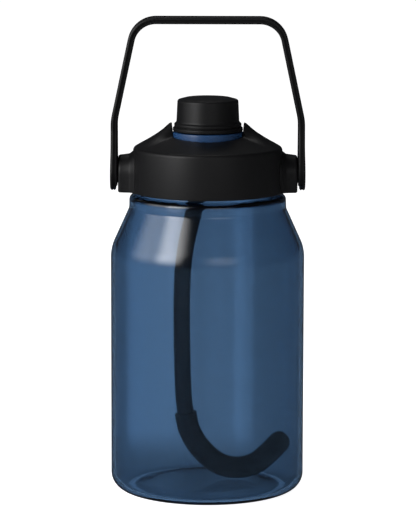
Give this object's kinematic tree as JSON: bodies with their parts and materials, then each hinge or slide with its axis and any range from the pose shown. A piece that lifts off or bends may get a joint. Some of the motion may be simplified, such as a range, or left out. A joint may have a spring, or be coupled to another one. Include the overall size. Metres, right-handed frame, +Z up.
{
  "type": "water jug",
  "caption": "Large translucent blue water jug with a screw lid, a screw cap over a drinking spout, a swinging bail handle and a curved straw inside.",
  "frame": {"origin": "centre of the foot, on the surface that the jug stands on", "axes": "+Z up along the bottle's axis, X along the handle's pivot line, -Y towards the front"},
  "size_m": [0.126, 0.125, 0.3086],
  "materials": {
    "bottle": "clear tinted plastic, glossy, navy blue",
    "black_plastic": "moulded black plastic, satin",
    "inner_plastic": "moulded dark plastic, satin",
    "spout": "moulded deep blue plastic, semi-gloss",
    "silicone": "dark silicone, matte",
    "straw": "soft dark straw tube, satin",
    "sleeve": "soft black silicone, matte"
  },
  "bodies": {
    "bottle": {"bottle_body": "bottle"},
    "lid_seal": {"lid_gasket": "silicone"},
    "lid": {"lid_shell": "black_plastic", "lid_liner": "inner_plastic", "vent_valve": "silicone", "spout": "spout", "spout_gasket": "silicone", "spout_lock_ring": "inner_plastic", "pivot_washer_left": "silicone", "pivot_washer_right": "silicone"},
    "cap_seal": {"cap_gasket": "silicone"},
    "cap": {"cap_shell": "black_plastic", "cap_liner": "inner_plastic"},
    "handle": {"handle_bail": "black_plastic", "pivot_pin_left": "inner_plastic", "pivot_pin_right": "inner_plastic"},
    "straw": {"straw_connector": "inner_plastic", "straw_tube": "straw", "straw_sleeve": "sleeve"}
  },
  "joints": [
    {"name": "lid_rise", "type": "slide", "parent": "bottle", "child": "lid_seal", "axis": [0, 0, 1], "range_m": [0, 0.009]},
    {"name": "lid_turn", "type": "hinge", "parent": "lid_seal", "child": "lid", "pos_m": [0, 0, 0.2], "axis": [0, 0, 1], "range_deg": [0, 720]},
    {"name": "cap_rise", "type": "slide", "parent": "lid", "child": "cap_seal", "axis": [0, 0, 1], "range_m": [0, 0.0063]},
    {"name": "cap_turn", "type": "hinge", "parent": "cap_seal", "child": "cap", "pos_m": [0, 0, 0.24], "axis": [0, 0, 1], "range_deg": [0, 630]},
    {"name": "handle_swing", "type": "hinge", "parent": "lid", "child": "handle", "pos_m": [0, 0, 0.2078], "axis": [1, 0, 0], "range_deg": [-130, 130]},
    {"name": "straw_swivel", "type": "hinge", "parent": "lid", "child": "straw", "pos_m": [0, 0, 0.2206], "axis": [0, 0, 1], "continuous": true}
  ],
  "couplings": [
    {"joint": "lid_rise", "follows": "lid_turn", "m_per_rad": 0.0007162},
    {"joint": "cap_rise", "follows": "cap_turn", "m_per_rad": 0.00057296}
  ]
}
